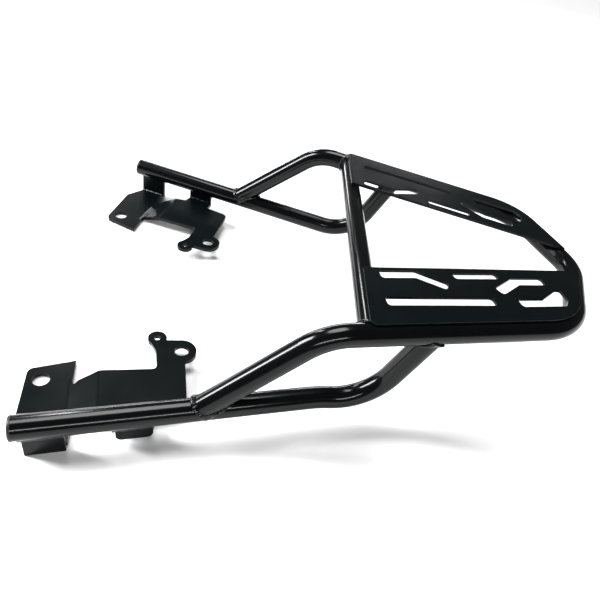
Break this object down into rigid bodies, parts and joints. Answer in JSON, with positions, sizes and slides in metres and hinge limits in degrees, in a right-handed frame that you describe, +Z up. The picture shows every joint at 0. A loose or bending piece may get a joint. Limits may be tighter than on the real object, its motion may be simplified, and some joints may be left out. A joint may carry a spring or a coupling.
{
  "type": "motorcycle luggage rack",
  "caption": "Rear luggage rack of bent steel tube with slotted deck plates and joggled mounting brackets, bolted over a motorcycle's tail.",
  "frame": {"origin": "midway between the two rear bolt holes, on the upper faces of the brackets' rear seats", "axes": "+X towards the rear of the machine, +Y towards its right, +Z up; the rails lie level"},
  "size_m": [0.4889, 0.4162, 0.1264],
  "materials": {
    "frame_coat": "gloss near-black powder coat, slightly blue, smooth, with bright highlights",
    "plate_coat": "the same powder coat on flat sheet, a little duller",
    "weld_coat": "powder coat over uneven weld beads",
    "plug_black": "black moulded plastic end plugs"
  },
  "bodies": {
    "root": {"hoop_tube": "frame_coat", "crossbar_tube": "frame_coat", "left_rail_tube": "frame_coat", "right_rail_tube": "frame_coat", "left_rail_plug": "plug_black", "right_rail_plug": "plug_black", "left_deck_plate": "plate_coat", "right_deck_plate": "plate_coat", "left_bracket_plate": "plate_coat", "right_bracket_plate": "plate_coat", "left_front_leg": "plate_coat", "right_front_leg": "plate_coat", "left_rear_leg": "plate_coat", "right_rear_leg": "plate_coat", "left_hoop_foot_weld": "weld_coat", "right_hoop_foot_weld": "weld_coat", "left_rail_head_weld": "weld_coat", "right_rail_head_weld": "weld_coat", "left_crossbar_weld": "weld_coat", "right_crossbar_weld": "weld_coat", "left_plate_edge_welds": "weld_coat", "right_plate_edge_welds": "weld_coat", "left_leg_welds": "weld_coat", "right_leg_welds": "weld_coat", "left_bracket_welds": "weld_coat", "right_bracket_welds": "weld_coat"}
  },
  "joints": []
}
